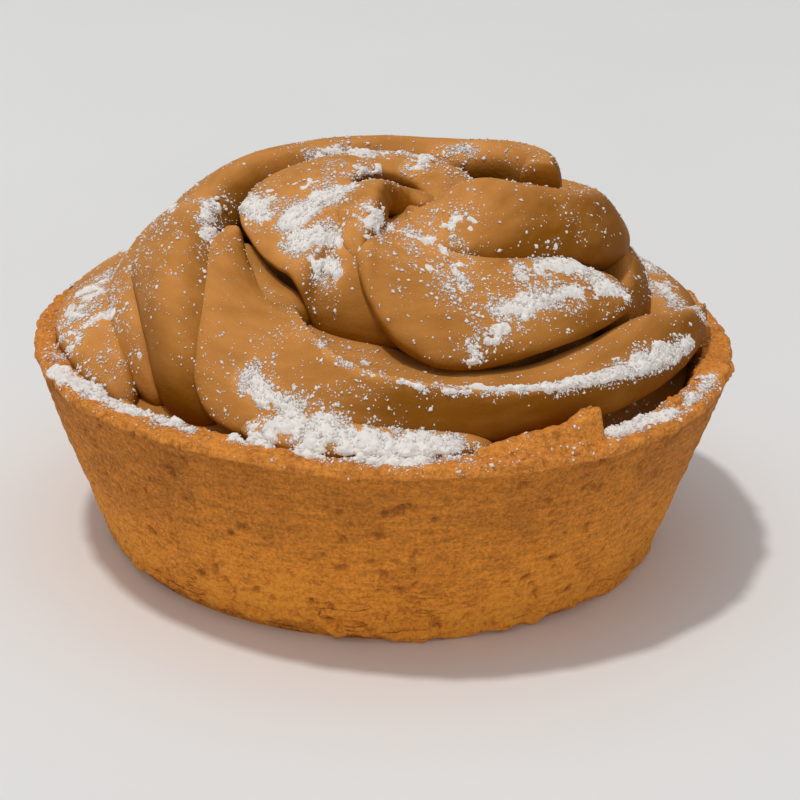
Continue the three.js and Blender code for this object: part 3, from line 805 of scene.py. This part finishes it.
def chestnut_cream(settings):
    """Chestnut cream, piped: smooth and satin, light passes a little way in, with painted light that makes it
    paler where it faces the light, most of all under the finest sugar, and painted shade that makes it deep
    brown on its flanks, with faint streaks that follow the piping round the tart and a fine grain of
    chestnut. Sugar lies where it fell."""
    material, tree, place, shader = new_material("Chestnut cream")
    arc, axes = way_round(tree, place, 6)
    level = add_node(tree, "ShaderNodeCombineXYZ", {"X": axes["X"], "Y": axes["Y"]}).outputs[0]
    radius = add_node(tree, "ShaderNodeVectorMath", {0: level}, operation="LENGTH").outputs["Value"]
    piping = add_node(tree, "ShaderNodeCombineXYZ", {"X": arc, "Y": radius, "Z": axes["Z"]}).outputs[0]
    streaks = noise(tree, piping, 1.6)
    clouds = noise(tree, place, 7)
    grain = noise(tree, place, 0.38, 2.0, 0.6)
    streaked = ranged(tree, reckon(tree, "ADD", streaks, clouds), 0.75, 1.25, -0.15, 0.15)
    # Painted light: paler where the cream faces the light and under sugar, with its real streaks added.
    paler = reckon(tree, "ADD", kept_value(tree, "dried"), streaked, use_clamp=True)
    # Painted shade: the deep colour fills the flanks that turn away from the light.
    cream = mixed(tree, paler, settings.deep[:], settings.chestnut[:])
    sugared, powder = sugar_coat(tree, place, cream)
    height = reckon(tree, "MULTIPLY_ADD", streaks, 0.5, grain)
    plug(tree, shader, {
        "Base Color": sugared,
        "Roughness": ranged(tree, powder, 0.0, 1.0, 0.62, 0.95),
        "Normal": bumped(tree, height, 0.45, 0.2),
        "Specular IOR Level": 0.1,
        "Subsurface Weight": 0.12,
        "Subsurface Radius": (1.0, 0.5, 0.2),
        "Subsurface Scale": 1.6 * MM,
    })
    return material


def drift_density(points):
    """How densely the drifts lie at points: for each drift a bell over the distance to its run of points,
    and of all drifts the densest."""
    density = np.zeros(len(points))
    for run, reach, strength in DRIFTS:
        for start, end in zip(np.array(run[:-1]), np.array(run[1:])):
            way = end - start
            share = np.clip((points - start) @ way / (way @ way), 0, 1)
            gap = np.linalg.norm(points - start - share[:, None] * way, axis=1)
            density = np.maximum(density, strength * np.exp(-((gap / reach) ** 2)))
    return density


class TART_OT_cream(bpy.types.Operator):
    """Fill the case with chestnut cream and pipe its folds and rolls"""

    bl_idname = "tart.cream"
    bl_label = "Chestnut Cream"

    def execute(self, context):
        crust, settings = context.scene.tart_crust, context.scene.tart_cream
        rim = crust.height / MM
        grids = [filling_grid(crust)]
        grids += [ribbon_grid(fold_sections, columns=72, rim=rim, **fold) for fold in FOLDS]
        grids += [ribbon_grid(roll_sections, columns=42, rim=rim, **roll) for roll in ROLLS]
        piece = put_joined("cream_swirl", [closed_surface(grid) for grid in grids])
        points, normals = points_of(piece)
        swell = settings.unevenness / MM * layered(points, (1, 5, 21), (0.4, 1.8, 22))
        moved = (points + normals * swell[:, None]) * MM
        piece.data.vertices.foreach_set("co", moved.astype(np.float32).ravel())
        piece.data.update()
        # Painted light: the cream is painted paler where it faces the light, and palest under the sugar.
        dusted = 0.68 + 0.32 * eased(drift_density(points), 0.03, 0.4)
        keep_values(piece, "dried", dusted * eased(normals @ PAINTED_LIGHT_FROM, 0.2, 0.95))
        piece.data.materials.append(chestnut_cream(settings))
        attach(piece, "root")
        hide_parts("cream")
        return {"FINISHED"}


def open_to_sky(points, cell=0.5, reach=50):
    """For each point, 1 where nothing lies above it and 0 under an overhang, from the highest point in each
    cell of a level grid, which reaches that far to each side of the axis."""
    column, row = np.floor((points[:, :2] + reach) / cell).astype(int).T
    key = column * math.ceil(2 * reach / cell) + row
    highest = np.full(key.max() + 1, -np.inf)
    np.maximum.at(highest, key, points[:, 2])
    return eased(points[:, 2] - highest[key], -1.6, -0.7)


def lying_share(points, normals):
    """Where sugar that falls from above can lie, from 0 to 1: on faces that look up and are open above."""
    return eased(normals[:, 2], 0.05, 0.5) * open_to_sky(points)


def strewn_sugar(points):
    """How densely loose grains are strewn at points, from 0 to 1: everywhere a little, more round the drifts
    and gathered in chains by noise."""
    chains = eased(layered(points, (1, 1.2, 35), (0.6, 0.7, 36)), -0.3, 0.5)
    everywhere = 0.025 + 0.04 * eased(bumps(points, 9, 33), -0.2, 0.6)
    strewn = everywhere + 0.7 * eased(drift_density(points), 0.04, 0.9)
    return np.clip(strewn * (0.2 + 1.6 * chains), 0, 1)


def drifted_sugar(points):
    """How thickly sugar has drifted at points, from 0 to 1: the drifts, broken up by noise of three sizes."""
    broken = layered(points, (0.9, 3.1, 31), (0.9, 1.3, 32), (0.7, 0.6, 34))
    return eased(drift_density(points) + 0.36 * broken, 0.52, 0.85)


def cut_finer(triangles, values, parts):
    """Values at the corners of triangles, carried over to the corners of smaller triangles, into which each
    one is cut by lines at whole parts of its sides, and the corner numbers of those."""
    spots = [(i, j) for i in range(parts + 1) for j in range(parts + 1 - i)]
    number = {spot: n for n, spot in enumerate(spots)}
    upright = [(number[i, j], number[i + 1, j], number[i, j + 1])
               for i, j in spots if i + j < parts]
    turned = [(number[i + 1, j], number[i + 1, j + 1], number[i, j + 1])
              for i, j in spots if i + j < parts - 1]
    shares = np.array([(parts - i - j, i, j) for i, j in spots]) / parts
    finer = np.einsum("sk,tkv->tsv", shares, values[triangles]).reshape(-1, values.shape[1])
    small = np.array(upright + turned)[None] + (np.arange(len(triangles)) * len(spots))[:, None, None]
    return finer, small.reshape(-1, 3)


def drift_sheet(points, normals, lying, triangles, depth, parts=3, edge=0.15, sunk=0.12, buried=0.4):
    """Drifted powder as a sheet on triangles, cut finer: lifted along the normals by the drift's depth with
    a grain of two sizes, sunk just under the surface where nothing has drifted, and ended at the edge, where
    the drift is that thin. A copy below, buried and turned round, and a strip along the border close it."""
    near = (drift_density(points) * lying)[triangles].max(axis=1) > edge
    values, small = cut_finer(triangles[near], np.column_stack([points, normals, lying]), parts)
    _, first, same = np.unique(np.round(values[:, :3], 3), axis=0, return_index=True, return_inverse=True)
    values, small = values[first], same.ravel()[small]
    place, facing, share = values[:, :3], unit(values[:, 3:6]), values[:, 6]
    drifted = drifted_sugar(place) * share
    small = small[drifted[small].max(axis=1) > edge]
    used, small = np.unique(small, return_inverse=True)
    small = small.reshape(-1, 3)
    place, facing, drifted = place[used], facing[used], drifted[used]
    grain = 0.6 + layered(place, (0.3, 0.5, 37), (0.3, 0.3, 38))
    top = place + facing * (depth * drifted * grain - sunk * (1 - drifted))[:, None]
    below = place - buried * facing
    sides = np.concatenate([small[:, [0, 1]], small[:, [1, 2]], small[:, [2, 0]]])
    _, seen, times = np.unique(np.sort(sides, axis=1), axis=0, return_index=True, return_counts=True)
    border = sides[seen[times == 1]]
    strip = np.column_stack([border[:, ::-1], border + len(place)])
    return np.concatenate([top, below]), np.concatenate([small, small[:, ::-1] + len(place)]), strip


def scattered(points, normals, triangles, density, count, generator):
    """Points, normals and densities drawn on triangles, with a chance in step with area and density."""
    a, b, c = (points[triangles[:, i]] for i in range(3))
    area = np.linalg.norm(np.cross(b - a, c - a), axis=1)
    chance = area * density[triangles].mean(axis=1)
    chosen = generator.choice(len(triangles), count, p=chance / chance.sum())
    u, v = generator.random((2, count, 1))
    u, v = np.where(u + v > 1, 1 - u, u), np.where(u + v > 1, 1 - v, v)
    place = a[chosen] + u * (b - a)[chosen] + v * (c - a)[chosen]
    corner = triangles[chosen, 0]
    return place, normals[corner], density[corner]


def grains_mesh(name, shape, faces, centres, facing, sizes, generator):
    """Many grains in one mesh: the shape stretched and jittered at random for each centre, turned at random
    about the normal of the surface that it lies on and pressed flatter along it."""
    count = len(centres)
    aside = unit(np.cross(facing, unit(generator.normal(size=(count, 3)))))
    axes = np.stack([aside, np.cross(facing, aside), facing], 1)
    stretch = generator.uniform(0.5, 1.5, (count, 1, 3)) * np.array([1, 1, 0.7])
    jitter = generator.uniform(0.6, 1.4, (count, len(shape), 1))
    bodies = shape[None] * stretch * jitter * sizes[:, None, None]
    points = np.einsum("nkj,nji->nki", bodies, axes) + centres[:, None]
    corners = faces[None] + (np.arange(count) * len(shape))[:, None, None]
    return put_mesh(name, points.reshape(-1, 3), corners.reshape(-1, 3))


def tetrahedron():
    """A four-cornered grain of radius 1 and its four faces."""
    points = np.array([(1, 1, 1), (-1, -1, 1), (-1, 1, -1), (1, -1, -1)]) / 3 ** 0.5
    return points, np.array([(0, 2, 1), (0, 1, 3), (0, 3, 2), (1, 2, 3)])


def octahedron():
    """A six-cornered grain of radius 1 and its eight faces."""
    points = np.array([(1, 0, 0), (-1, 0, 0), (0, 1, 0), (0, -1, 0), (0, 0, 1), (0, 0, -1)], float)
    faces = np.array([(0, 2, 4), (2, 1, 4), (1, 3, 4), (3, 0, 4), (2, 0, 5), (1, 2, 5), (3, 1, 5), (0, 3, 5)])
    return points, faces


def icosahedron():
    """A twelve-cornered clump of radius 1 and its twenty faces."""
    g = (1 + 5 ** 0.5) / 2
    points = np.array([
        (-1, g, 0), (1, g, 0), (-1, -g, 0), (1, -g, 0), (0, -1, g), (0, 1, g),
        (0, -1, -g), (0, 1, -g), (g, 0, -1), (g, 0, 1), (-g, 0, -1), (-g, 0, 1)]) / (1 + g * g) ** 0.5
    faces = np.array([
        (0, 11, 5), (0, 5, 1), (0, 1, 7), (0, 7, 10), (0, 10, 11), (1, 5, 9), (5, 11, 4),
        (11, 10, 2), (10, 7, 6), (7, 1, 8), (3, 9, 4), (3, 4, 2), (3, 2, 6), (3, 6, 8),
        (3, 8, 9), (4, 9, 5), (2, 4, 11), (6, 2, 10), (8, 6, 7), (9, 8, 1)])
    return points, faces


def icing_sugar(settings):
    """Icing sugar, sieved: dry white powder, matt, a little uneven in tone from clump to clump."""
    material, tree, place, shader = new_material("Icing sugar")
    tone = ranged(tree, noise(tree, place, 0.8, 1.0), 0.3, 0.7, 0.86, 1.0)
    shaded = mixed(tree, 1.0, settings.white[:], tone, blend_type="MULTIPLY")
    plug(tree, shader, {"Base Color": shaded, "Roughness": 0.9, "Specular IOR Level": 0.2})
    return material


class TART_OT_sugar(bpy.types.Operator):
    """Sieve icing sugar over the case and the cream: a fine coat, drifts, dust, specks and clumps"""

    bl_idname = "tart.sugar"
    bl_label = "Icing Sugar"

    def execute(self, context):
        settings = context.scene.tart_sugar
        generator = np.random.default_rng(17)
        under = [bpy.data.objects["baked_case"], bpy.data.objects["cream_swirl"]]
        parts = [points_of(piece) for piece in under]
        points = np.concatenate([part[0] for part in parts])
        normals = np.concatenate([part[1] for part in parts])
        splits = np.cumsum([0] + [len(part[0]) for part in parts])
        faces = [triangles_of(piece) + first for piece, first in zip(under, splits)]
        triangles = np.concatenate(faces)
        lying = lying_share(points, normals)
        strewn, drifted = lying * strewn_sugar(points), lying * drifted_sugar(points)
        for piece, first, last in zip(under, splits, splits[1:]):
            keep_values(piece, "dusting", np.maximum(0.6 * strewn, drifted)[first:last])
        half, depth = settings.grain / MM / 2, settings.depth / MM
        pieces = [put_mesh(name, *drift_sheet(points, normals, lying, group, depth))
                  for name, group in zip(["sugar_on_case", "sugar_on_cream"], faces)]
        # Each kind: its name, its shape, where it lies, how many there are, the smallest and the largest in
        # half grains, and the share of the drift's depth that it is piled up to
        kinds = [
            ("sugar_dust", tetrahedron(), strewn ** 1.5, settings.dust, 0.5, 1.3, 0.0),
            ("sugar_specks", octahedron(), strewn ** 1.2, settings.specks, 0.6, 1.8, 0.0),
            ("sugar_clumps", icosahedron(), drifted, settings.clumps, 0.6, 1.6, 0.55),
        ]
        for name, shape, density, count, smallest, largest, piled in kinds:
            place, facing, heap = scattered(points, normals, triangles, density, count, generator)
            sizes = half * (smallest + (largest - smallest) * generator.random(count) ** 3)
            rise = 0.3 * sizes + piled * depth * heap
            pieces.append(grains_mesh(name, *shape, place + facing * rise[:, None], facing, sizes, generator))
        material = icing_sugar(settings)
        for piece in pieces:
            piece.data.materials.append(material)
            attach(piece, "root")
        return {"FINISHED"}


def pale_floor(settings):
    """A pale, matt surface with a barely uneven tone."""
    material, tree, place, shader = new_material("Pale floor")
    tone = ranged(tree, noise(tree, place, 60), 0.0, 1.0, 0.97, 1.02)
    shaded = mixed(tree, 1.0, settings.floor[:], tone, blend_type="MULTIPLY")
    plug(tree, shader, {"Base Color": shaded, "Roughness": 0.7, "Specular IOR Level": 0.2})
    return material


def add_lamp(name, power, size, place, hex_colour):
    """A round soft lamp that shines at the tart."""
    lamp = bpy.data.lights.new(name, "AREA")
    lamp.shape = "DISK"
    lamp.size = size
    lamp.energy = power
    lamp.color = linear(hex_colour)[:3]
    lamp_object = bpy.data.objects.new(name, lamp)
    lamp_object.location = place
    way = LIT - lamp_object.location
    lamp_object.rotation_euler = way.to_track_quat("-Z", "Y").to_euler()
    bpy.context.scene.collection.objects.link(lamp_object)


class TART_OT_stage(bpy.types.Operator):
    """Set up the floor, the lights and the camera"""

    bl_idname = "tart.stage"
    bl_label = "Stage"

    def execute(self, context):
        scene, settings = context.scene, context.scene.tart_stage
        half_width = 3000
        corners = half_width * np.array([(-1.0, -1, 0), (1, -1, 0), (1, 1, 0), (-1, 1, 0)])
        floor = put_mesh("floor", corners, np.array([(0, 1, 2, 3)]))
        floor.data.materials.append(pale_floor(settings))

        for name, size, place, hex_colour in LAMPS:
            add_lamp(f"{name}_light", getattr(settings, name), size, place, hex_colour)

        world = bpy.data.worlds.new("Room light")
        world.use_nodes = True
        background = world.node_tree.nodes["Background"]
        plug(world.node_tree, background, {"Color": linear(ROOM_COLOUR), "Strength": settings.sky})
        scene.world = world
        scene.view_settings.view_transform = "Standard"

        lens = bpy.data.cameras.new("camera")
        lens.sensor_width = 36
        lens.lens = settings.lens
        lens.clip_start = 0.01
        camera = bpy.data.objects.new("camera", lens)
        rise, swing = math.sin(settings.elevation), math.cos(settings.elevation)
        back = np.array([0, -swing, rise])
        level, upright = np.array([1.0, 0, 0]), np.array([0, rise, swing])
        right = math.cos(settings.roll) * level + math.sin(settings.roll) * upright
        up = math.cos(settings.roll) * upright - math.sin(settings.roll) * level
        columns = np.stack([right, up, back, AIM + settings.distance * back], 1)
        camera.matrix_world = Matrix(np.vstack([columns, (0, 0, 0, 1)]).tolist())
        scene.collection.objects.link(camera)
        scene.camera = camera
        return {"FINISHED"}


class TART_PT_pieces(bpy.types.Panel):
    """Sizes, colours and the buttons that build the tart"""

    bl_label = "Chestnut Cream Tart"
    bl_idname = "TART_PT_pieces"
    bl_space_type = "VIEW_3D"
    bl_region_type = "UI"
    bl_category = "Tart"

    def draw(self, context):
        for operator, group in PIECES:
            box = self.layout.box()
            settings = getattr(context.scene, group)
            for name in settings.__annotations__:
                box.prop(settings, name)
            box.operator(operator)


GROUPS = {
    "tart_crust": TartCrustSettings,
    "tart_cream": TartCreamSettings,
    "tart_sugar": TartSugarSettings,
    "tart_stage": TartStageSettings,
}
PIECES = [
    ("tart.crust", "tart_crust"),
    ("tart.cream", "tart_cream"),
    ("tart.sugar", "tart_sugar"),
    ("tart.stage", "tart_stage"),
]
CLASSES = [*GROUPS.values(), TART_OT_crust, TART_OT_cream, TART_OT_sugar, TART_OT_stage, TART_PT_pieces]


def register():
    for kind in CLASSES:
        bpy.utils.register_class(kind)
    for name, group in GROUPS.items():
        setattr(bpy.types.Scene, name, bpy.props.PointerProperty(type=group))


def unregister():
    for name in GROUPS:
        delattr(bpy.types.Scene, name)
    for kind in reversed(CLASSES):
        bpy.utils.unregister_class(kind)


def main():
    register()
    bpy.ops.tart.crust()
    bpy.ops.tart.cream()
    bpy.ops.tart.sugar()
    bpy.ops.tart.stage()


if __name__ == "__main__":
    main()
